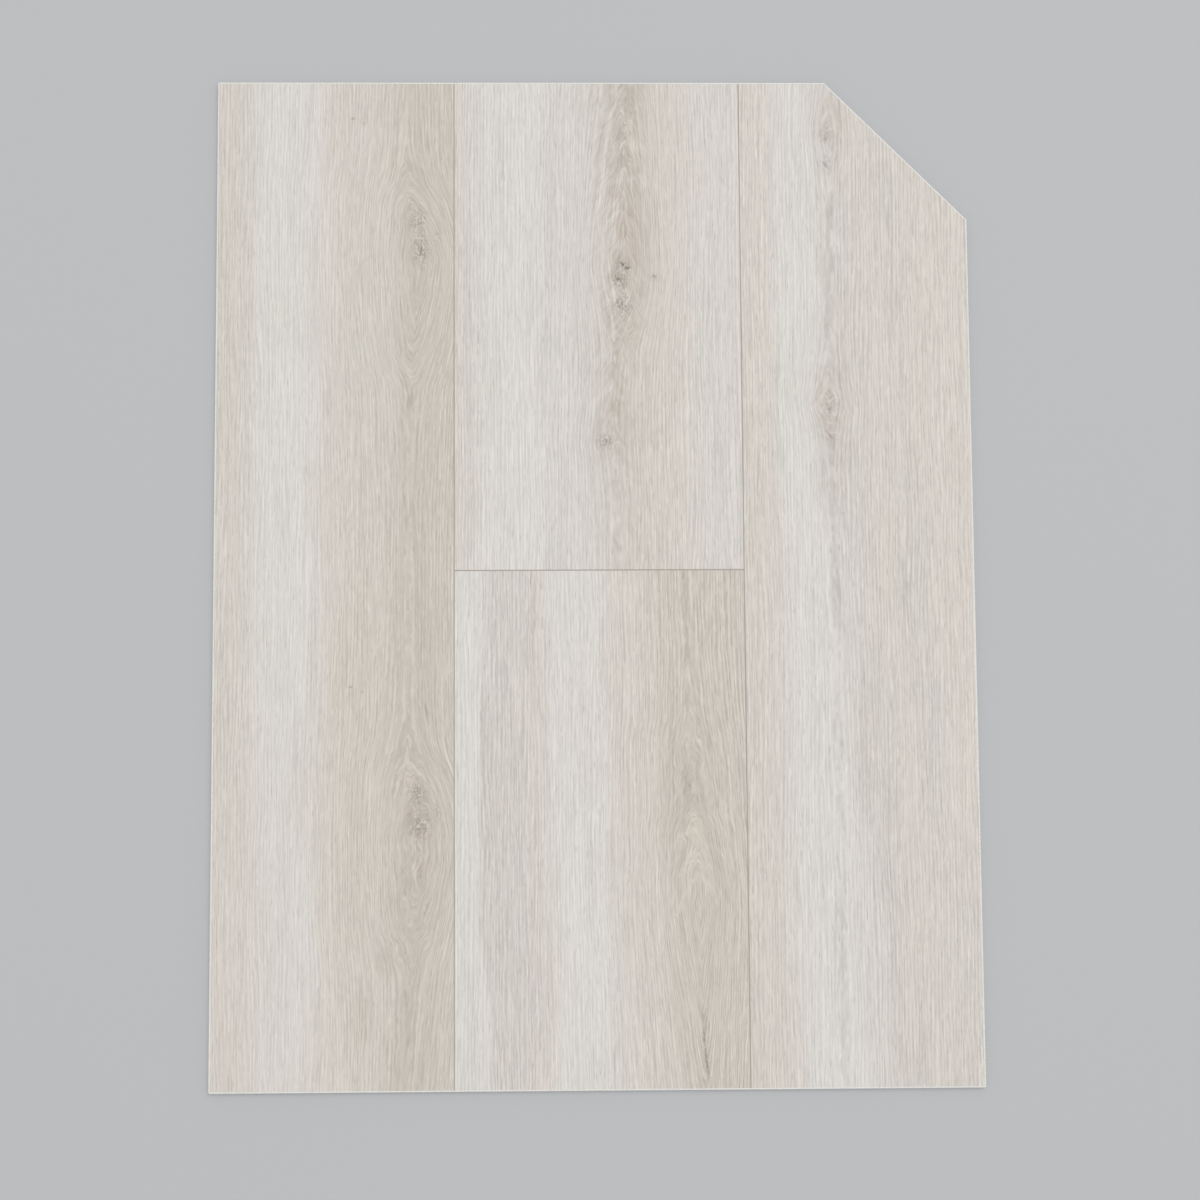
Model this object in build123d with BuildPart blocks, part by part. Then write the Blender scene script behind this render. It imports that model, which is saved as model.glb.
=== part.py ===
# Sample panel of click-lock vinyl floor planks, in millimetres, +Z up.
# Four pieces of plank are clicked together in three columns, with one end joint in the middle
# column, and the laid panel is then sawn to its outline, with one corner cut off at 45 degrees.
# The origin is the middle of the panel's outline, on the underside.

import os

from build123d import *

# Panel outline
panel_width = 600.0
panel_length = 800.0
corner_cut = 113.0  # leg of the cut at the far right corner
corner_round = 1.5  # the three square corners
arris = 0.5  # sanded break along the sawn top edges

# Plank stock and where its joints lie
thickness = 6.0
plank_width = 228.6  # face of a whole plank, joint to joint
left_face = 189.0  # sawn left edge to the first long joint
lower_face = 404.5  # sawn near edge to the end joint

# Click joint of the long edges; the end joint is the same cut, a little lower
bevel_width = 0.6  # micro-bevel along each joint, on the face
bevel_depth = 0.45
upper_lip = 2.3  # face to the top of the tongue
tongue_thickness = 1.9
tongue_reach = 3.0  # tongue tip past the joint plane
nose_flat = 0.5  # straight part of the tongue's tip, between its two rounds
nose_gap = 0.3  # tongue tip to the bottom of the groove
play = 0.1  # room above and below the tongue and round the locking bead
lock_place = 3.4  # joint plane to the foot of the locking bead
lock_height = 0.7
lock_run = 0.3  # how far the bead's locking face leans over its height
lock_gap = 0.02  # between the two locking faces
bead_width = 1.5
mill_radius = 0.25  # corners of the milled bead and its seat
end_drop = 0.17  # how much lower the end joint is milled

# Heights in the joint, from the underside up
tongue_top = thickness - upper_lip
tongue_bottom = tongue_top - tongue_thickness
lip_top = tongue_bottom - play
bead_top = lip_top + lock_height
seat_top = bead_top + play

# Reaches across the joint plane
groove_depth = tongue_reach + nose_gap
lip_reach = lock_place + lock_run + bead_width
heel_place = lock_place + lock_run * play / lock_height - lock_gap
nose_radius = (tongue_thickness - nose_flat) / 2
notch = 2 * lip_reach - bead_width  # clears the other joint's bead where two joints meet

# Joint planes, in the panel's frame
first_joint = left_face - panel_width / 2
second_joint = first_joint + plank_width
end_joint = lower_face - panel_length / 2


def groove_edge(joint, drop=0.0):
    """Corners of an edge with groove and locking lip, face to underside, as (across, height, radius)."""
    return [
        (joint - bevel_width, thickness, 0),
        (joint, thickness - bevel_depth, 0),
        (joint, tongue_top + play - drop, 0),
        (joint - groove_depth, tongue_top + play - drop, nose_radius),
        (joint - groove_depth, lip_top - drop, nose_radius),
        (joint + lock_place, lip_top - drop, mill_radius),
        (joint + lock_place + lock_run, bead_top - drop, mill_radius),
        (joint + lip_reach, bead_top - drop, mill_radius),
        (joint + lip_reach, 0, 0),
    ]


def tongue_edge(joint, drop=0.0):
    """Corners of an edge with tongue and locking seat, underside to face, as (across, height, radius)."""
    return [
        (joint + lip_reach + play, 0, 0),
        (joint + lip_reach + play, seat_top - drop, mill_radius),
        (joint + heel_place + lock_run, seat_top - drop, mill_radius),
        (joint + heel_place, tongue_bottom - drop, mill_radius),
        (joint - tongue_reach, tongue_bottom - drop, nose_radius),
        (joint - tongue_reach, tongue_top - drop, nose_radius),
        (joint, tongue_top - drop, 0),
        (joint, thickness - bevel_depth, 0),
        (joint + bevel_width, thickness, 0),
    ]


def stock_start(place):
    """Square end on the low side of a section, underside to face."""
    return [(place, 0, 0), (place, thickness, 0)]


def stock_end(place):
    """Square end on the high side of a section, face to underside."""
    return [(place, thickness, 0), (place, 0, 0)]


def draw_section(low_edge, high_edge):
    """Closed section between two edges, drawn in the sketch that is open."""
    corners = low_edge + high_edge
    points = [(across, height) for across, height, _ in corners]
    radii = [radius for _, _, radius in corners]
    with BuildLine() as border:
        FilletPolyline(*points, radius=radii, close=True)
    make_face(border.edges())


# The sawn outline that trims every piece
with BuildPart() as outline:
    with BuildSketch() as plan:
        Rectangle(panel_width, panel_length)
        far_right = plan.vertices().sort_by(Axis.X)[-2:].sort_by(Axis.Y)[-1]
        square = plan.vertices() - [far_right]
        fillet(square, radius=corner_round)
        far_right = plan.vertices().sort_by_distance((panel_width / 2, panel_length / 2))[0]
        chamfer(far_right, length=corner_cut)
    extrude(amount=thickness)
    chamfer(outline.faces().sort_by(Axis.Z)[-1].edges(), length=arris)

# Left column: sawn on the left, groove and locking lip on the right
with BuildPart() as plank_left:
    with BuildSketch(Plane.XZ):
        draw_section(stock_start(-panel_width), groove_edge(first_joint))
    extrude(amount=panel_length, both=True)
    add(outline.part, mode=Mode.INTERSECT)

# Middle column, far piece: its near end carries the tongue of the end joint
with BuildPart() as plank_middle_upper:
    with BuildSketch(Plane.XZ):
        draw_section(tongue_edge(first_joint), groove_edge(second_joint))
    extrude(amount=panel_length, both=True)
    with BuildSketch(Plane.YZ):
        draw_section(tongue_edge(end_joint, end_drop), stock_end(panel_length))
    extrude(amount=panel_width, both=True, mode=Mode.INTERSECT)
    with Locations((second_joint + lip_reach, end_joint)):
        Box(notch, notch, thickness * 3, mode=Mode.SUBTRACT)
    add(outline.part, mode=Mode.INTERSECT)

# Middle column, near piece: its far end carries the groove and lip of the end joint
with BuildPart() as plank_middle_lower:
    with BuildSketch(Plane.XZ):
        draw_section(tongue_edge(first_joint), groove_edge(second_joint))
    extrude(amount=panel_length, both=True)
    with BuildSketch(Plane.YZ):
        draw_section(stock_start(-panel_length), groove_edge(end_joint, end_drop))
    extrude(amount=panel_width, both=True, mode=Mode.INTERSECT)
    with Locations((first_joint, end_joint + lip_reach)):
        Box(notch, notch, thickness * 3, mode=Mode.SUBTRACT)
    add(outline.part, mode=Mode.INTERSECT)

# Right column: tongue on the left, sawn on the right and across the cut corner
with BuildPart() as plank_right:
    with BuildSketch(Plane.XZ):
        draw_section(tongue_edge(second_joint), stock_end(panel_width))
    extrude(amount=panel_length, both=True)
    add(outline.part, mode=Mode.INTERSECT)

pieces = {
    "plank_left": plank_left,
    "plank_middle_upper": plank_middle_upper,
    "plank_middle_lower": plank_middle_lower,
    "plank_right": plank_right,
}

os.makedirs("parts", exist_ok=True)
for name, piece in pieces.items():
    piece.part.label = name
    export_step(piece.part, f"parts/{name}.step")
    print(name, "volume", round(piece.part.volume), "mm3")
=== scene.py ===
import math

import bmesh
import bpy
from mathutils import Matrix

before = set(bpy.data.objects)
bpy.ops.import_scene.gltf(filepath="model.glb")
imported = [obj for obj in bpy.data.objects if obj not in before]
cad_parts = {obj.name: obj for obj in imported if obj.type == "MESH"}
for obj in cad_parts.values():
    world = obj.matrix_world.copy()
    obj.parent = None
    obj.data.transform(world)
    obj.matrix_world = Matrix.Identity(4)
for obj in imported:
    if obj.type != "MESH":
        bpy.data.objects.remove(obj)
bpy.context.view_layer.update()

mmPerMetre = 1000.0
print("frame loaded:", ", ".join(sorted(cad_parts)))


def hexColour(code):  # sRGB hex to the linear values Blender's sockets hold
    linear = []
    for start in (1, 3, 5):
        level = int(code[start:start + 2], 16) / 255
        linear.append(level / 12.92 if level <= 0.04045 else ((level + 0.055) / 1.055) ** 2.4)
    return (*linear, 1.0)


def perSize(size):  # Mapping scale for a pattern of this size, in mm across and along
    return (1 / size[0], 1 / size[1], 1)


def addNode(tree, kind, inputs, out=0, **settings):  # one node with its settings, values and links
    node = tree.nodes.new("ShaderNode" + kind)
    for name, value in settings.items():
        setattr(node, name, value)
    for key, value in inputs.items():
        if isinstance(value, bpy.types.NodeSocket):
            tree.links.new(value, node.inputs[key])
        else:
            node.inputs[key].default_value = value
    return node.outputs[out]


def fillRamp(ramp, stops):  # stops are (position, colour), in rising order
    while len(ramp.elements) < len(stops):
        ramp.elements.new(1.0)
    for element, (position, colour) in zip(ramp.elements, stops):
        element.position = position
        element.color = colour


# The print's inks, from the limed face to the darkest specks, and the stock behind it
inks = {
    "chalk": hexColour("#DAD6D1"),
    "mist": hexColour("#D6D1CC"),
    "rose": hexColour("#D5CEC7"),
    "dusk": hexColour("#D1CBC5"),
    "oat": hexColour("#D1CBC3"),
    "greige": hexColour("#CBC4BA"),
    "heart": hexColour("#BCB1A6"),
    "olive": hexColour("#CCC9BC"),
    "lichen": hexColour("#D2CFC4"),
    "sand": hexColour("#CCC6B9"),
    "bloom": hexColour("#D7D2C9"),
    "lime": hexColour("#E4E0DA"),
    "pore": hexColour("#A0978C"),
    "knot": hexColour("#6E655A"),
    "joint": hexColour("#B2ABA1"),
    "core": hexColour("#EBE9E5"),
    "coreSpeck": hexColour("#C3C0BA"),
    "back": hexColour("#C9C8C4"),
    "backLine": hexColour("#B4B2AD"),
}

# The print on each plank, in mm from the middle of the panel. The notes on the first plank hold for all.
planks = {
    "plank_left": {
        "seed": 3.7,  # where its noise patterns start
        "span": (-300.0, -111.0),  # x of its two sides
        "lineGain": 1.28,  # contrast of the grain
        "heartWidth": 33.6,  # how far from its line the heart shows
        "fade": 42.0,  # how far from the heart line the grain still bends
        "mottle": 0.45,  # contrast of the patches in the heart
        "feather": 0.5,  # contrast of the heart's short slanting barbs
        "fan": 0.0,  # how much the bands spread along the plank
        "bands": [  # tone across the plank: (x, ink)
            (-300, "oat"), (-284, "oat"), (-258, "chalk"), (-236, "chalk"), (-206, "rose"), (-190, "oat"),
            (-168, "oat"), (-150, "greige"), (-137, "greige"), (-118, "greige"),
        ],
        "washes": [  # soft patches of one ink: middle, half width and half length
            {"at": (-275, -330), "size": (90, 380), "ink": "rose", "strength": 0.6},
            {"at": (-188, -140), "size": (45, 330), "ink": "sand", "strength": 0.6},
            {"at": (-147, 340), "size": (10, 30), "ink": "lichen", "strength": 0.7},
            {"at": (-149, 240), "size": (7, 26), "ink": "lichen", "strength": 0.6},
            {"at": (-147, -117), "size": (10, 30), "ink": "lichen", "strength": 0.7},
            {"at": (-149, -217), "size": (7, 26), "ink": "lichen", "strength": 0.4},
            {"at": (-165, -300), "size": (10, 24), "ink": "heart", "strength": 0.5},
            {"at": (-181, -345), "size": (12, 40), "ink": "heart", "strength": 0.35},
        ],
        "course": [  # the heart: (y, x of its line, how far the grain parts there, strength)
            (-400, -150, 2, 0.4), (-350, -147, 4, 0.45), (-307, -145, 8, 0.5), (-267, -143, 25, 0.6),
            (-232, -140, 35, 0.8), (-201, -139, 40, 0.9), (-177, -141, 32, 0.9), (-157, -145, 22, 0.8),
            (-141, -148, 12, 0.7), (-127, -148, 6, 0.6), (-107, -148, 2, 0.6), (-60, -147, 0, 0.6),
            (60, -146, 0, 0.4), (150, -145, 8, 0.3), (190, -143, 25, 0.35), (225, -140, 35, 0.35),
            (256, -139, 40, 0.38), (280, -141, 32, 0.38), (300, -145, 22, 0.4), (316, -148, 12, 0.4),
            (330, -148, 6, 0.4), (350, -148, 2, 0.3), (400, -146, 0, 0.3),
        ],
        "knots": [  # soft speckled stains
            {"at": (-140, 287), "size": (11, 15), "strength": 0.65},
            {"at": (-138, 262), "size": (11, 19), "strength": 0.75},
            {"at": (-124, 273), "size": (4, 13), "strength": 0.50},
        ],
        "cracks": [  # dark slits and specks, turned by degrees
            {"at": (-139, 284), "size": (4, 1.8), "turn": 20, "strength": 0.25},
            {"at": (-138, 262), "size": (2, 6), "turn": 5, "strength": 0.20},
            {"at": (-132.5, 350), "size": (1.8, 11), "turn": 8, "strength": 0.25},
            {"at": (-192, 370), "size": (2.5, 1.6), "turn": 10, "strength": 0.45},
            {"at": (-183, 366), "size": (2, 2), "turn": 0, "strength": 0.25},
        ],
        "strokes": [  # pale streaks round the heart
            {"at": (-152.5, 306), "size": (1.3, 9), "turn": -35, "strength": 0.9},
            {"at": (-160, 295), "size": (1.2, 9), "turn": -27, "strength": 0.6},
            {"at": (-143.5, 308.5), "size": (1.3, 6), "turn": 45, "strength": 0.9},
            {"at": (-136, 300), "size": (1.3, 9), "turn": 42, "strength": 0.8},
            {"at": (-128, 287), "size": (1.2, 10), "turn": 18, "strength": 0.5},
            {"at": (-147, 166), "size": (3, 17), "turn": 18, "strength": 0.4},
            {"at": (-138, 127), "size": (4, 7), "turn": 10, "strength": 0.5},
        ],
        "repeats": (0.0, -457.0),  # steps along the plank at which knots, cracks and strokes come again
    },
    "plank_middle_upper": {
        "seed": 11.2,
        "span": (-111.0, 117.6),
        "lineGain": 1.4,
        "heartWidth": 35.0,
        "fade": 15.0,
        "mottle": 0.7,
        "feather": 0.9,
        "fan": 0.0,
        "bands": [
            (-111, "rose"), (-82, "chalk"), (-52, "chalk"), (-28, "mist"), (-6, "mist"), (6, "mist"),
            (30, "oat"), (54, "oat"), (68, "rose"), (92, "mist"),
        ],
        "washes": [
            {"at": (-100, 200), "size": (30, 260), "ink": "dusk", "strength": 0.5},
            {"at": (38, 275), "size": (20, 75), "ink": "heart", "strength": 0.35},
        ],
        "course": [
            (5, 16, 0, 0.15), (60, 16, 0, 0.2), (92, 14, 2, 0.45), (106, 12, 7, 0.75), (135, 14, 1, 0.6),
            (180, 17, 4, 0.6), (208, 22, 24, 0.85), (230, 24, 44, 1.0), (248, 24, 56, 1.0), (400, 28, 4, 1.0),
        ],
        "knots": [
            {"at": (24, 249), "size": (8, 8), "strength": 0.6},
            {"at": (21, 237), "size": (10, 10), "strength": 0.8},
            {"at": (23, 218), "size": (12, 12), "strength": 0.7},
            {"at": (49, 240), "size": (7, 5), "strength": 0.40},
            {"at": (10, 107), "size": (11, 9), "strength": 0.70},
        ],
        "cracks": [
            {"at": (24, 250), "size": (1.6, 5.5), "turn": 42, "strength": 0.9},
            {"at": (28, 247.5), "size": (4, 1.3), "turn": 15, "strength": 0.7},
            {"at": (19, 239), "size": (1.3, 5), "turn": 35, "strength": 0.5},
            {"at": (23.5, 234), "size": (1.2, 4), "turn": 25, "strength": 0.4},
            {"at": (48.5, 241), "size": (3, 1.2), "turn": -30, "strength": 0.35},
            {"at": (10, 107), "size": (1.6, 4), "turn": 30, "strength": 0.3},
        ],
        "strokes": [
            {"at": (32, 346), "size": (1.3, 8), "turn": 38, "strength": 0.7},
            {"at": (48.5, 328), "size": (1.3, 10), "turn": 28, "strength": 0.6},
            {"at": (9.5, 280), "size": (1.2, 8), "turn": -18, "strength": 0.6},
        ],
        "repeats": (0.0,),
    },
    "plank_middle_lower": {
        "seed": 23.9,
        "span": (-111.0, 117.6),
        "lineGain": 1.45,
        "heartWidth": 39.2,
        "fade": 26.0,
        "mottle": 0.5,
        "feather": 0.9,
        "fan": 0.0002,
        "bands": [
            (-111, "chalk"), (-94, "chalk"), (-82, "dusk"), (-56, "dusk"), (-44, "rose"), (-32, "chalk"),
            (-6, "chalk"), (14, "rose"), (38, "oat"), (56, "greige"), (84, "greige"), (117, "greige"),
        ],
        "washes": [
            {"at": (72, -150), "size": (36, 200), "ink": "olive", "strength": 0.4},
            {"at": (-10, -110), "size": (32, 120), "ink": "rose", "strength": 0.4},
        ],
        "course": [
            (-400, 84, 6, 0.1), (-345, 82, 16, 0.15), (-262, 79, 37, 0.25), (-238, 78, 36, 0.45),
            (-222, 77, 28, 0.6), (-202, 75, 25, 0.65), (-186, 75, 16, 0.6), (-150, 73, 14, 0.6),
            (-130, 72, 12, 0.5), (-112, 72, 4, 0.4), (-60, 70, 0, 0.15), (5, 70, 0, 0.15),
        ],
        "knots": [
            {"at": (72, -165), "size": (7, 12), "strength": 0.30},
            {"at": (83, -370), "size": (5, 32), "strength": 0.35},
        ],
        "cracks": [
            {"at": (81, -343), "size": (1.3, 9), "turn": 2, "strength": 0.35},
            {"at": (82, -360), "size": (1.4, 13), "turn": 3, "strength": 0.50},
            {"at": (84, -381), "size": (1.6, 15), "turn": 6, "strength": 0.65},
        ],
        "strokes": [
            {"at": (67, -206), "size": (7, 12), "turn": -20, "strength": 0.7},
            {"at": (69, -228), "size": (4.2, 14), "turn": -30, "strength": 0.75},
            {"at": (79, -225), "size": (4.0, 11), "turn": 36, "strength": 0.75},
            {"at": (73, -242), "size": (3.8, 15), "turn": -29, "strength": 0.8},
            {"at": (85, -240), "size": (4.0, 14), "turn": 34, "strength": 0.8},
            {"at": (63, -262), "size": (3.6, 18), "turn": -18, "strength": 0.7},
            {"at": (100, -184), "size": (4, 16), "turn": 16, "strength": 0.6},
            {"at": (73, -127), "size": (8, 4), "turn": -25, "strength": 0.6},
        ],
        "repeats": (0.0,),
    },
    "plank_right": {
        "seed": 37.4,
        "span": (117.6, 300.0),
        "lineGain": 1.4,
        "heartWidth": 23.8,
        "fade": 12.0,
        "mottle": 0.9,
        "feather": 0.6,
        "fan": 0.00055,
        "bands": [
            (118, "oat"), (140, "rose"), (160, "chalk"), (182, "chalk"), (194, "mist"), (210, "dusk"),
            (236, "rose"), (252, "dusk"), (272, "rose"), (290, "rose"),
        ],
        "washes": [
            {"at": (196, 110), "size": (30, 150), "ink": "dusk", "strength": 0.9},
            {"at": (198, 265), "size": (16, 50), "ink": "chalk", "strength": 0.5},
        ],
        "course": [
            (-400, 192, 0, 0.0), (40, 190, 0, 0.1), (84, 190, 0, 0.3), (111, 190, 3, 0.45),
            (123, 189, 8, 0.65), (135, 187, 17, 0.9), (145, 186, 15, 0.8), (155, 187, 6, 0.6),
            (182, 189, 0, 0.3), (250, 190, 0, 0.1), (304, 190, 0, 0.1), (331, 190, 2, 0.1),
            (343, 190, 5, 0.2), (355, 189, 10, 0.6), (365, 189, 9, 0.5), (375, 190, 4, 0.4),
            (400, 190, 0, 0.2),
        ],
        "knots": [
            {"at": (188, 138), "size": (9, 11), "strength": 0.45},
            {"at": (188, 112), "size": (6, 10), "strength": 0.35},
            {"at": (252, 252), "size": (10, 12), "strength": 0.20},
        ],
        "cracks": [
            {"at": (188, 142), "size": (2.5, 1.2), "turn": 20, "strength": 0.5},
            {"at": (187, 112), "size": (1.2, 5), "turn": 36, "strength": 0.5},
            {"at": (187, 133), "size": (2, 3.5), "turn": 10, "strength": 0.3},
            {"at": (193, 126), "size": (1.6, 5), "turn": -15, "strength": 0.25},
        ],
        "strokes": [
            {"at": (191, 142), "size": (6, 1.6), "turn": 8, "strength": 0.7},
            {"at": (187, 122), "size": (5, 1.6), "turn": -12, "strength": 0.6},
            {"at": (201, 122), "size": (1.4, 7), "turn": -12, "strength": 0.5},
            {"at": (186, 156), "size": (1.2, 7), "turn": -35, "strength": 0.4},
            {"at": (181, 141), "size": (1.4, 8), "turn": -16, "strength": 0.6},
            {"at": (185.5, 150), "size": (1.4, 5), "turn": -52, "strength": 0.6},
            {"at": (194, 148), "size": (1.5, 6), "turn": 48, "strength": 0.6},
            {"at": (200.5, 136), "size": (1.5, 9), "turn": 14, "strength": 0.6},
        ],
        "repeats": (0.0, 220.0),
    },
}
panelEdge = {"halfWidth": 300.0, "halfLength": 400.0, "cornerCut": 113.0, "thickness": 6.0}  # in mm

# How the grain runs. Sizes of patterns are in mm, across and along.
flowLook = {
    "swaySize": (120.0, 330.0), "swayReach": 2.5,
    "partMost": 60.0,  # the parting in mm that a full green stands for
    "crown": 5.0,  # mm over which the rings are rounded at the heart line
    "sideDrift": 1 / 25,  # makes the rings differ on the two sides of the heart
    "raggedSize": (6.0, 20.0), "raggedReach": 17.0,
    "raggedFull": 10.0,  # mm of parting from which the rings are as ragged as they get
}
lineLook = {"pitch": 2.65, "gain": 0.080, "stray": 22.0}  # brushed lines, and how far their spacing strays
tintLook = {"size": (12.0, 130.0), "shift": 2.0, "jitter": 28.0, "from": 0.45, "to": 0.75, "strength": 0.25}


# The grain runs along Y, sways a little, and parts round the knots on the heart line
def grainFlow(tree, place, plank):
    seed = plank["seed"]
    start, stop = plank["span"]
    x = addNode(tree, "SeparateXYZ", {0: place})
    y = x.node.outputs[1]
    swayPlace = addNode(tree, "Mapping", {"Vector": place, "Location": (seed, 0, 0),
                                          "Scale": perSize(flowLook["swaySize"])})
    sway = addNode(tree, "TexNoise", {"Vector": swayPlace, "Scale": 1.0, "Detail": 1.0},
                   noise_dimensions="2D")
    reach = flowLook["swayReach"]
    shift = addNode(tree, "Math", {0: sway, 1: 2 * reach, 2: -reach}, operation="MULTIPLY_ADD")
    across = addNode(tree, "Math", {0: x, 1: shift}, operation="ADD")

    # Red holds the heart line's place across the plank, green the parting, blue the heart's strength
    half = panelEdge["halfLength"]
    along = addNode(tree, "MapRange", {"Value": y, "From Min": -half, "From Max": half})
    course = addNode(tree, "ValToRGB", {0: along})
    stops = []
    for at, line, parted, shown in plank["course"]:
        colour = ((line - start) / (stop - start), parted / flowLook["partMost"], shown, 1.0)
        stops.append(((at + half) / (2 * half), colour))
    fillRamp(course.node.color_ramp, stops)
    lineShare = addNode(tree, "SeparateColor", {0: course})
    parting = lineShare.node.outputs[1]
    strength = lineShare.node.outputs[2]

    # Distance from the heart line, which bends only the grain close to it
    middle = plank["course"][len(plank["course"]) // 2][1]
    bend = addNode(tree, "MapRange", {"Value": lineShare, "To Min": middle - start, "To Max": middle - stop})
    offMiddle = addNode(tree, "Math", {0: across, 1: middle}, operation="SUBTRACT")
    wide = addNode(tree, "Math", {0: offMiddle}, operation="ABSOLUTE")
    wideFade = addNode(tree, "Math", {0: wide, 1: -1 / (2 * plank["fade"])}, operation="MULTIPLY")
    wideNear = addNode(tree, "Math", {0: wideFade}, operation="EXPONENT")
    aside = addNode(tree, "Math", {0: bend, 1: wideNear, 2: offMiddle}, operation="MULTIPLY_ADD")
    away = addNode(tree, "Math", {0: aside}, operation="ABSOLUTE")
    nearness = addNode(tree, "Math", {0: away, 1: -1 / plank["fade"]}, operation="MULTIPLY")
    near = addNode(tree, "Math", {0: nearness}, operation="EXPONENT")

    # The heart shows strongest on its line
    column = addNode(tree, "MapRange", {"Value": away, "From Max": plank["heartWidth"], "To Min": 1.0,
                                        "To Max": 0.0}, interpolation_type="SMOOTHSTEP")
    heart = addNode(tree, "Math", {0: column, 1: strength}, operation="MULTIPLY")

    # Rings round the heart: the distance from its line, rounded over the line, less what the grain
    # is pushed aside, and ragged where the grain parts
    raggedPlace = addNode(tree, "Mapping", {"Vector": place, "Location": (0, seed, 0),
                                            "Scale": perSize(flowLook["raggedSize"])})
    ragged = addNode(tree, "TexNoise", {"Vector": raggedPlace, "Scale": 1.0, "Detail": 1.0},
                     noise_dimensions="2D")
    fullShare = flowLook["raggedFull"] / flowLook["partMost"]
    raggedHere = addNode(tree, "MapRange", {"Value": parting, "From Max": fullShare,
                                            "To Max": flowLook["raggedReach"]})
    ruffle = addNode(tree, "Math", {0: ragged, 1: heart}, operation="MULTIPLY")
    pushed = addNode(tree, "Math", {0: parting, 1: -flowLook["partMost"]}, operation="MULTIPLY")
    moved = addNode(tree, "Math", {0: ruffle, 1: raggedHere, 2: pushed}, operation="MULTIPLY_ADD")
    squared = addNode(tree, "Math", {0: aside, 1: aside, 2: flowLook["crown"] ** 2},
                      operation="MULTIPLY_ADD")
    rounded = addNode(tree, "Math", {0: squared}, operation="SQRT")
    ring = addNode(tree, "Math", {0: moved, 1: near, 2: rounded}, operation="MULTIPLY_ADD")
    drift = addNode(tree, "Math", {0: aside, 1: flowLook["sideDrift"]}, operation="MULTIPLY")
    lane = addNode(tree, "CombineXYZ", {0: ring, 1: y, 2: drift})

    # Places for the fibres, for the bands, which spread along the plank, and for the heart's barbs
    side = addNode(tree, "Math", {0: aside}, operation="SIGN")
    fibreAcross = addNode(tree, "Math", {0: ring, 1: side}, operation="MULTIPLY")
    fibre = addNode(tree, "CombineXYZ", {0: fibreAcross, 1: y, 2: 0.0})
    fromEdge = addNode(tree, "Math", {0: across, 1: -start}, operation="ADD")
    fan = addNode(tree, "Math", {0: y, 1: plank["fan"]}, operation="MULTIPLY")
    bands = addNode(tree, "Math", {0: fan, 1: fromEdge, 2: across}, operation="MULTIPLY_ADD")
    apart = addNode(tree, "Math", {0: side, 1: heartLook["featherApart"], 2: y}, operation="MULTIPLY_ADD")
    feather = addNode(tree, "CombineXYZ", {0: away, 1: apart, 2: 0.0})

    # Long patches vary the bands and the tint, and like ones along the rings space the brushed lines unevenly
    patchSettings = {"Location": (tintLook["shift"], seed, 0), "Scale": perSize(tintLook["size"])}
    patchPlace = addNode(tree, "Mapping", {"Vector": fibre, **patchSettings})
    patches = addNode(tree, "TexNoise", {"Vector": patchPlace, "Scale": 1.0, "Detail": 1.0},
                      noise_dimensions="2D")
    strayPlace = addNode(tree, "Mapping", {"Vector": lane, **patchSettings})
    stray = addNode(tree, "TexNoise", {"Vector": strayPlace, "Scale": 1.0, "Detail": 1.0})
    strayed = addNode(tree, "Math", {0: stray, 1: lineLook["stray"]}, operation="MULTIPLY")
    turns = addNode(tree, "Math", {0: ring, 1: 2 * math.pi / lineLook["pitch"], 2: strayed},
                    operation="MULTIPLY_ADD")
    lines = addNode(tree, "Math", {0: turns}, operation="SINE")
    return {"lane": lane, "fibre": fibre, "feather": feather, "heart": heart, "bands": bands,
            "patches": patches, "lines": lines}


# Layers of fibres: their size, how far their brightness varies, and which one breaks up the brushed lines
grainLayers = [
    {"size": (0.75, 6.0), "gain": 0.085, "breaksLines": False},
    {"size": (0.75, 18.0), "gain": 0.085, "breaksLines": True},
    {"size": (1.3, 110.0), "gain": 0.040, "breaksLines": False},
]
heartLook = {
    "calm": 0.4,  # how much of the straight grain stays at the heart
    "tint": 0.60, "mottleGain": 2.2, "mottleSize": (8.0, 13.0), "mottleWarp": 0.6,
    "archGain": 0.11, "archDip": 0.0275, "archSize": (2.6, 130.0), "archFrom": 0.54, "archTo": 0.66,
    "featherGain": 0.14, "featherSize": (1.2, 13.0), "featherTurn": 30.0,
    "featherApart": 200.0,  # mm between the barbs' patterns on the two sides of the heart
}


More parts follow.
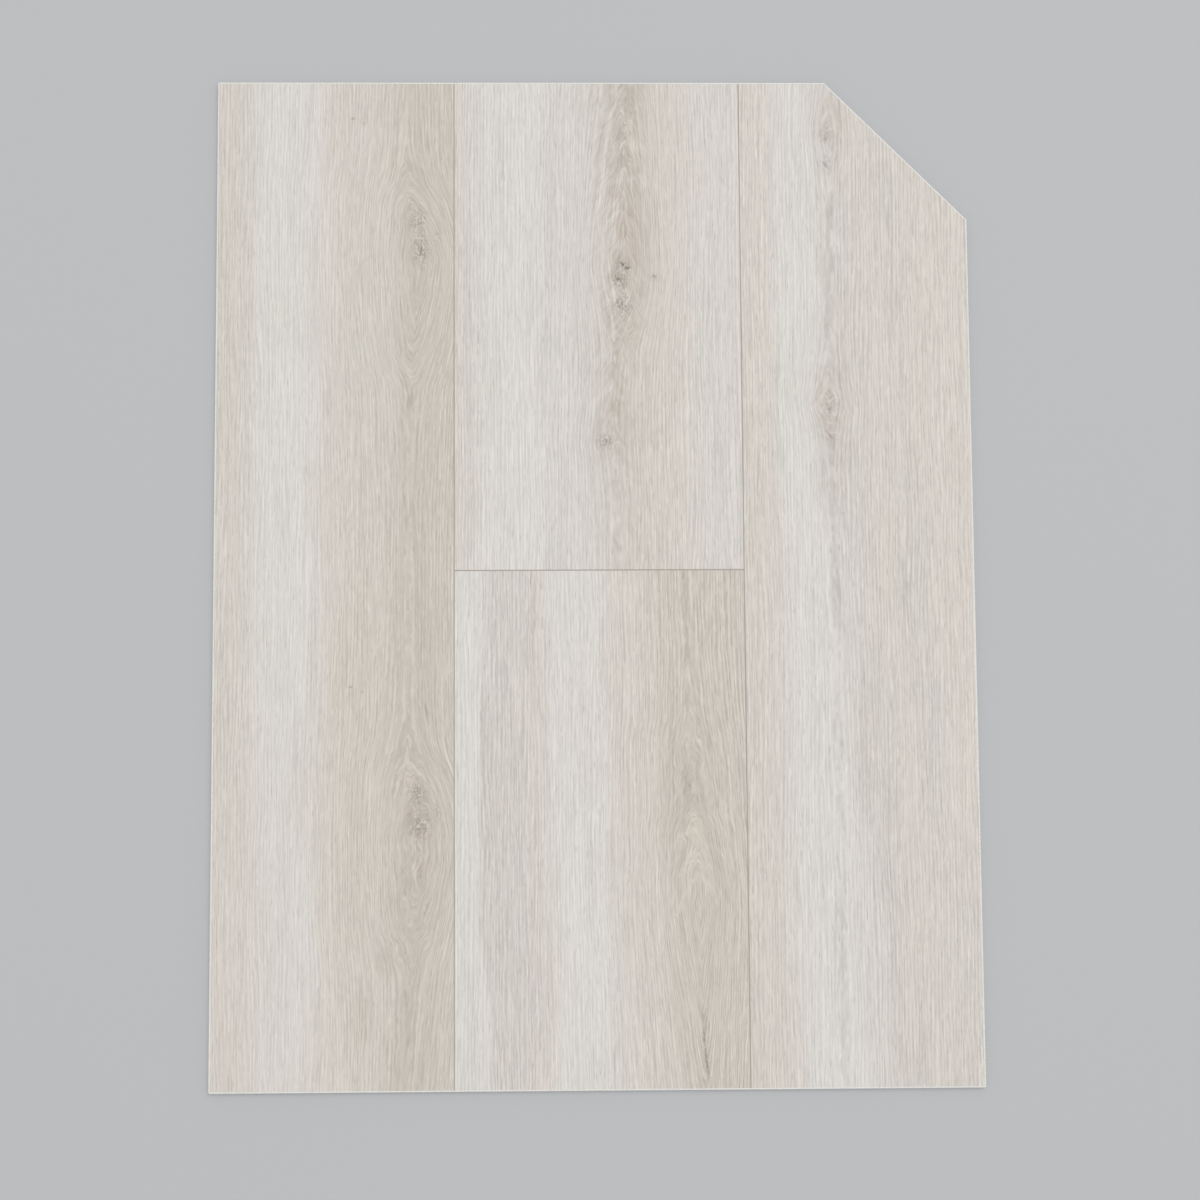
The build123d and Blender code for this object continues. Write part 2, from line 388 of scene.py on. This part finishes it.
# Brightness of the layered grain and its brushed lines, calmer at the heart, and of the heart's figure
def grainShade(tree, flow, plank):
    seed = plank["seed"]
    gains = [layer["gain"] * plank["lineGain"] for layer in grainLayers]
    lineGain = lineLook["gain"] * plank["lineGain"]
    brushed = addNode(tree, "Math", {0: flow["lines"], 1: lineGain}, operation="MULTIPLY")
    shade = -sum(gains) / 2
    for order, layer in enumerate(grainLayers):
        layerPlace = addNode(tree, "Mapping", {"Vector": flow["fibre"], "Location": (seed, order * seed, 0),
                                               "Scale": perSize(layer["size"])})
        fibres = addNode(tree, "TexVoronoi", {"Vector": layerPlace, "Scale": 1.0}, 1,
                         voronoi_dimensions="2D")
        tone = addNode(tree, "SeparateColor", {0: fibres})
        shade = addNode(tree, "Math", {0: tone, 1: gains[order], 2: shade}, operation="MULTIPLY_ADD")
        if layer["breaksLines"]:
            broken = tone.node.outputs[1]
            shade = addNode(tree, "Math", {0: brushed, 1: broken, 2: shade}, operation="MULTIPLY_ADD")
    calm = addNode(tree, "MapRange", {"Value": flow["heart"], "To Min": 1.0, "To Max": heartLook["calm"]})
    shade = addNode(tree, "Math", {0: shade, 1: calm}, operation="MULTIPLY")

    archPlace = addNode(tree, "Mapping", {"Vector": flow["lane"], "Location": (-seed, 0, seed),
                                          "Scale": perSize(heartLook["archSize"])})
    arches = addNode(tree, "TexNoise", {"Vector": archPlace, "Scale": 1.0, "Detail": 0.0})
    pale = addNode(tree, "MapRange", {"Value": arches,
                                      "From Min": heartLook["archFrom"], "From Max": heartLook["archTo"],
                                      "To Min": -heartLook["archDip"], "To Max": heartLook["archGain"]})
    featherPlace = addNode(tree, "Mapping", {"Vector": flow["feather"], "Location": (seed, seed, 0),
                                             "Rotation": (0, 0, math.radians(heartLook["featherTurn"])),
                                             "Scale": (*heartLook["featherSize"], 1)}, vector_type="TEXTURE")
    barbs = addNode(tree, "TexVoronoi", {"Vector": featherPlace, "Scale": 1.0}, 1, voronoi_dimensions="2D")
    barbTone = addNode(tree, "SeparateColor", {0: barbs})
    gain = heartLook["featherGain"] * plank["feather"]
    level = addNode(tree, "Math", {0: barbTone, 1: gain, 2: -gain / 2}, operation="MULTIPLY_ADD")
    figure = addNode(tree, "Math", {0: level, 1: pale}, operation="ADD")
    return addNode(tree, "Math", {0: figure, 1: flow["heart"], 2: shade}, operation="MULTIPLY_ADD")


# A soft ellipse that fades out from its middle, moved along the plank by a step
def softSpot(tree, place, mark, step=0.0):
    x, y = mark["at"]
    turn = math.radians(mark.get("turn", 0))
    spot = addNode(tree, "Mapping", {"Vector": place, "Location": (x, y + step, 0), "Rotation": (0, 0, turn),
                                     "Scale": (*mark["size"], mmPerMetre)}, vector_type="TEXTURE")
    return addNode(tree, "TexGradient", {"Vector": spot}, 1, gradient_type="SPHERICAL")


# Tone bands across the plank, olive patches, soft washes and the darker mottled heart
def printTone(tree, place, flow, plank):
    start, stop = plank["span"]
    patches = flow["patches"]
    jitter = tintLook["jitter"]
    streaky = addNode(tree, "Math", {0: patches, 1: jitter, 2: flow["bands"]}, operation="MULTIPLY_ADD")
    share = addNode(tree, "MapRange", {"Value": streaky, "From Min": start + jitter / 2,
                                       "From Max": stop + jitter / 2})
    tone = addNode(tree, "ValToRGB", {0: share})
    ramp = tone.node.color_ramp
    ramp.interpolation = "EASE"
    fillRamp(ramp, [((at - start) / (stop - start), inks[ink]) for at, ink in plank["bands"]])
    tint = addNode(tree, "MapRange", {"Value": patches, "From Min": tintLook["from"],
                                      "From Max": tintLook["to"], "To Max": tintLook["strength"]})
    tone = addNode(tree, "Mix", {0: tint, 6: tone, 7: inks["olive"]}, 2, data_type="RGBA")
    for wash in plank["washes"]:
        soft = softSpot(tree, place, wash)
        share = addNode(tree, "MapRange", {"Value": soft, "To Max": wash["strength"]},
                        interpolation_type="SMOOTHSTEP")
        tone = addNode(tree, "Mix", {0: share, 6: tone, 7: inks[wash["ink"]]}, 2, data_type="RGBA")

    mottlePlace = addNode(tree, "Mapping", {"Vector": place, "Location": (plank["seed"], 0, 0),
                                            "Scale": perSize(heartLook["mottleSize"])})
    mottle = addNode(tree, "TexNoise", {"Vector": mottlePlace, "Scale": 1.0, "Detail": 2.0,
                                        "Distortion": heartLook["mottleWarp"]}, noise_dimensions="2D")
    contrast = heartLook["mottleGain"] * plank["mottle"]
    figure = addNode(tree, "Math", {0: mottle, 1: -contrast, 2: heartLook["tint"] + contrast / 2},
                     operation="MULTIPLY_ADD")
    heartTint = addNode(tree, "Math", {0: flow["heart"], 1: figure}, operation="MULTIPLY")
    return addNode(tree, "Mix", {0: heartTint, 6: tone, 7: inks["heart"]}, 2, data_type="RGBA")


# A pore is a dash in a cell: dark or limed by the cell's chance, or not there
poreLook = {
    "cell": (3.0, 28.0), "core": 0.05, "rim": 0.15, "strength": 0.45, "darkAbove": 0.55, "limedBelow": 0.20,
}
crazeLook = {  # what speckles the knots
    "size": (2.6, 3.6), "warp": 0.4, "middle": 0.5,
    "thin": 0.085, "stain": 0.16,  # how far off the middle a dark vein ends, and the stain between the veins
    "paleFrom": 0.08, "paleTo": 0.18, "pale": 0.95,
    "patchy": 0.12, "patchLow": 0.4, "patchHigh": 1.3,  # how the pale strokes break up
}


# Adds up the strength of soft spots, at each repeat of the print
def addSpots(tree, place, plank, kind, total):
    for step in plank["repeats"]:
        for mark in plank[kind]:
            soft = softSpot(tree, place, mark, step)
            total = addNode(tree, "Math", {0: soft, 1: mark["strength"], 2: total}, operation="MULTIPLY_ADD")
    return total


# Short dark or limed pores along the grain, then the knots with dark veins, cracks, pale flecks and strokes
def printMarks(tree, colour, place, flow, plank):
    porePlace = addNode(tree, "Mapping", {"Vector": flow["fibre"], "Scale": perSize(poreLook["cell"])})
    distance = addNode(tree, "TexVoronoi", {"Vector": porePlace, "Scale": 1.0}, voronoi_dimensions="2D")
    dash = addNode(tree, "MapRange", {"Value": distance, "From Min": poreLook["rim"],
                                      "From Max": poreLook["core"], "To Max": poreLook["strength"]})
    chance = addNode(tree, "SeparateColor", {0: distance.node.outputs[1]})
    present = addNode(tree, "MapRange", {"Value": chance, "From Min": poreLook["darkAbove"]})
    pore = addNode(tree, "Math", {0: dash, 1: present}, operation="MULTIPLY")
    colour = addNode(tree, "Mix", {0: pore, 6: colour, 7: inks["pore"]}, 2, data_type="RGBA")
    filled = addNode(tree, "MapRange", {"Value": chance, "From Min": poreLook["limedBelow"],
                                        "From Max": 0.0})
    limed = addNode(tree, "Math", {0: dash, 1: filled}, operation="MULTIPLY")
    colour = addNode(tree, "Mix", {0: limed, 6: colour, 7: inks["lime"]}, 2, data_type="RGBA")

    stain = addSpots(tree, place, plank, "knots", 0.0)
    crazePlace = addNode(tree, "Mapping", {"Vector": place, "Location": (plank["seed"], 0, 0),
                                           "Scale": perSize(crazeLook["size"])})
    craze = addNode(tree, "TexNoise", {"Vector": crazePlace, "Scale": 1.0, "Detail": 1.0,
                                       "Distortion": crazeLook["warp"]}, noise_dimensions="2D")
    level = addNode(tree, "Math", {0: craze, 1: crazeLook["middle"]}, operation="SUBTRACT")
    offLevel = addNode(tree, "Math", {0: level}, operation="ABSOLUTE")
    veins = addNode(tree, "MapRange", {"Value": offLevel, "From Max": crazeLook["thin"], "To Min": 1.0,
                                       "To Max": crazeLook["stain"]})
    veined = addNode(tree, "Math", {0: stain, 1: veins}, operation="MULTIPLY")
    dark = addSpots(tree, place, plank, "cracks", veined)
    flecks = addNode(tree, "MapRange", {"Value": level, "From Min": crazeLook["paleFrom"],
                                        "From Max": crazeLook["paleTo"], "To Max": crazeLook["pale"]})
    paleFleck = addNode(tree, "Math", {0: stain, 1: flecks}, operation="MULTIPLY")
    patchy = crazeLook["patchy"]
    broken = addNode(tree, "MapRange", {"Value": level, "From Min": -patchy, "From Max": patchy,
                                        "To Min": crazeLook["patchLow"], "To Max": crazeLook["patchHigh"]})
    brushed = addSpots(tree, place, plank, "strokes", 0.0)
    paleMix = addNode(tree, "Math", {0: brushed, 1: broken, 2: paleFleck}, operation="MULTIPLY_ADD")
    colour = addNode(tree, "Mix", {0: dark, 6: colour, 7: inks["knot"]}, 2, data_type="RGBA")
    return addNode(tree, "Mix", {0: paleMix, 6: colour, 7: inks["bloom"]}, 2, data_type="RGBA")


edgeLook = {
    "bevelFrom": 0.02, "bevelTo": 0.2, "bevelPaint": 0.85,  # mm below the face, and share of the joint's ink
    "arris": 1.1,  # how many mm in from the outline the core shows
    "gritScale": 1.1, "gritFrom": 0.45, "gritTo": 0.75, "gritStrength": 0.6,  # specks per mm in the core
    "backHeight": 0.05, "sandFrom": 0.35, "sandTo": 0.65,
}


# Painted micro-bevels at the joints, the pale speckled core at sawn edges, the plain sanded back
def edgeColours(tree, colour, place, ticks):
    x = addNode(tree, "SeparateXYZ", {0: place})
    y = x.node.outputs[1]
    z = x.node.outputs[2]
    top = panelEdge["thickness"]
    bevel = addNode(tree, "MapRange", {"Value": z, "From Min": top - edgeLook["bevelFrom"],
                                       "From Max": top - edgeLook["bevelTo"],
                                       "To Max": edgeLook["bevelPaint"]})
    colour = addNode(tree, "Mix", {0: bevel, 6: colour, 7: inks["joint"]}, 2, data_type="RGBA")

    # How far a point lies outside the outline, from its straight sides and from the cut corner
    awayX = addNode(tree, "Math", {0: x}, operation="ABSOLUTE")
    awayY = addNode(tree, "Math", {0: y}, operation="ABSOLUTE")
    outX = addNode(tree, "Math", {0: awayX, 1: panelEdge["halfWidth"]}, operation="SUBTRACT")
    outY = addNode(tree, "Math", {0: awayY, 1: panelEdge["halfLength"]}, operation="SUBTRACT")
    sumXY = addNode(tree, "Math", {0: x, 1: y}, operation="ADD")
    cutReach = panelEdge["halfWidth"] + panelEdge["halfLength"] - panelEdge["cornerCut"]
    outCut = addNode(tree, "Math", {0: sumXY, 1: 1 / math.sqrt(2), 2: -cutReach / math.sqrt(2)},
                     operation="MULTIPLY_ADD")
    outSquare = addNode(tree, "Math", {0: outX, 1: outY}, operation="MAXIMUM")
    outside = addNode(tree, "Math", {0: outSquare, 1: outCut}, operation="MAXIMUM")
    sawn = addNode(tree, "Math", {0: outside, 1: -edgeLook["arris"]}, operation="GREATER_THAN")
    grit = addNode(tree, "TexNoise", {"Vector": place, "Scale": edgeLook["gritScale"], "Detail": 1.0})
    coreMix = addNode(tree, "MapRange", {"Value": grit, "From Min": edgeLook["gritFrom"],
                                         "From Max": edgeLook["gritTo"], "To Max": edgeLook["gritStrength"]})
    core = addNode(tree, "Mix", {0: coreMix, 6: inks["core"], 7: inks["coreSpeck"]}, 2, data_type="RGBA")
    colour = addNode(tree, "Mix", {0: sawn, 6: colour, 7: core}, 2, data_type="RGBA")

    under = addNode(tree, "Math", {0: z, 1: edgeLook["backHeight"]}, operation="LESS_THAN")
    sanded = addNode(tree, "MapRange", {"Value": ticks, "From Min": edgeLook["sandFrom"],
                                        "From Max": edgeLook["sandTo"]})
    back = addNode(tree, "Mix", {0: sanded, 6: inks["back"], 7: inks["backLine"]}, 2, data_type="RGBA")
    return addNode(tree, "Mix", {0: under, 6: colour, 7: back}, 2, data_type="RGBA")


depthLook = {"dark": 1.25, "pale": 0.8}  # the grain's contrast on the darkest and palest bands
embossLook = {"size": (0.9, 22.0), "strength": 0.25, "depth": 0.06}  # mm; coarser than real ticks, to show
finishLook = {"ior": 1.46, "darkShade": 0.85, "paleShade": 1.15, "darkRough": 0.62, "paleRough": 0.5}


# Printed vinyl: a matte embossed wear layer over a limed oak print. Fine straight lines with
# short pores, and at the heart line the grain arches round soft speckled knots.
def printedVinyl(name, plank):
    material = bpy.data.materials.new("printedVinyl_" + name)
    material.use_nodes = True
    tree = material.node_tree
    tree.nodes.clear()
    objectPlace = addNode(tree, "TexCoord", {}, 3)
    place = addNode(tree, "VectorMath", {0: objectPlace, 3: mmPerMetre}, operation="SCALE")
    flow = grainFlow(tree, place, plank)
    tone = printTone(tree, place, flow, plank)

    # The grain shows more on the darker bands
    level = addNode(tree, "SeparateColor", {0: tone})
    depth = addNode(tree, "MapRange", {"Value": level,
                                       "From Min": inks["greige"][0], "From Max": inks["chalk"][0],
                                       "To Min": depthLook["dark"], "To Max": depthLook["pale"]})
    grain = grainShade(tree, flow, plank)
    shade = addNode(tree, "Math", {0: grain, 1: depth, 2: 1.0}, operation="MULTIPLY_ADD")
    colour = addNode(tree, "VectorMath", {0: tone, 3: shade}, operation="SCALE")
    colour = printMarks(tree, colour, place, flow, plank)

    # Embossed ticks along the grain, a few hundredths of a millimetre deep; the darker grain is duller
    tickPlace = addNode(tree, "Mapping", {"Vector": place, "Scale": perSize(embossLook["size"])})
    ticks = addNode(tree, "TexNoise", {"Vector": tickPlace, "Scale": 1.0, "Detail": 1.0},
                    noise_dimensions="2D")
    colour = edgeColours(tree, colour, place, ticks)
    emboss = addNode(tree, "Bump", {"Strength": embossLook["strength"],
                                    "Distance": embossLook["depth"] / mmPerMetre, "Height": ticks})
    rough = addNode(tree, "MapRange", {"Value": shade, "From Min": finishLook["darkShade"],
                                       "From Max": finishLook["paleShade"],
                                       "To Min": finishLook["darkRough"], "To Max": finishLook["paleRough"]})
    shader = addNode(tree, "BsdfPrincipled", {"Base Color": colour, "Roughness": rough,
                                              "IOR": finishLook["ior"], "Normal": emboss})
    output = tree.nodes.new("ShaderNodeOutputMaterial")
    tree.links.new(shader, output.inputs["Surface"])
    return material


for name, plank in planks.items():
    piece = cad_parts[name]
    material = printedVinyl(name, plank)
    piece.data.materials.clear()
    piece.data.materials.append(material)
print("planks printed:", len(planks))

# Pale matte floor
floorLook = {"half": 30.0, "gap": 0.0001, "colour": "#BEC0C2", "roughness": 0.85}
floorMesh = bpy.data.meshes.new("floor")
floorGrid = bmesh.new()
bmesh.ops.create_grid(floorGrid, x_segments=1, y_segments=1, size=floorLook["half"])
floorGrid.to_mesh(floorMesh)
floorGrid.free()
floor = bpy.data.objects.new("floor", floorMesh)
floor.location.z = -floorLook["gap"]
bpy.context.scene.collection.objects.link(floor)
floorMaterial = bpy.data.materials.new("paleFloor")
floorMaterial.use_nodes = True
floorShader = floorMaterial.node_tree.nodes["Principled BSDF"]
floorShader.inputs["Base Color"].default_value = hexColour(floorLook["colour"])
floorShader.inputs["Roughness"].default_value = floorLook["roughness"]
floorMesh.materials.append(floorMaterial)

# Soft studio light: an even white surround and one large soft light overhead, a little to the far right
lightLook = {
    "surround": 0.69, "surroundColour": "#FFFFFF",
    "keyPower": 135.0, "keySize": 4.0, "keyPlace": (0.8, 1.0, 6.4),
}
world = bpy.data.worlds.new("studio")
bpy.context.scene.world = world
world.use_nodes = True
surround = world.node_tree.nodes["Background"]
surround.inputs["Color"].default_value = hexColour(lightLook["surroundColour"])
surround.inputs["Strength"].default_value = lightLook["surround"]
keyData = bpy.data.lights.new("keySoftbox", "AREA")
keyData.energy = lightLook["keyPower"]
keyData.size = lightLook["keySize"]
key = bpy.data.objects.new("keySoftbox", keyData)
key.location = lightLook["keyPlace"]
key.rotation_euler = (-key.location).to_track_quat("-Z", "Y").to_euler()
bpy.context.scene.collection.objects.link(key)
print("floor and lights placed")

# Camera almost straight above, a little towards the near edge
cameraLook = {"lens": 80.0, "sensor": 36.0, "place": (-0.0467, -0.2594, 2.0901), "turn": (6.58, -1.34, -0.38)}
cameraData = bpy.data.cameras.new("camera")
cameraData.lens = cameraLook["lens"]
cameraData.sensor_width = cameraLook["sensor"]
camera = bpy.data.objects.new("camera", cameraData)
camera.location = cameraLook["place"]
camera.rotation_euler = [math.radians(angle) for angle in cameraLook["turn"]]
bpy.context.scene.collection.objects.link(camera)
bpy.context.scene.camera = camera
bpy.context.scene.view_settings.view_transform = "Standard"
print("camera placed")
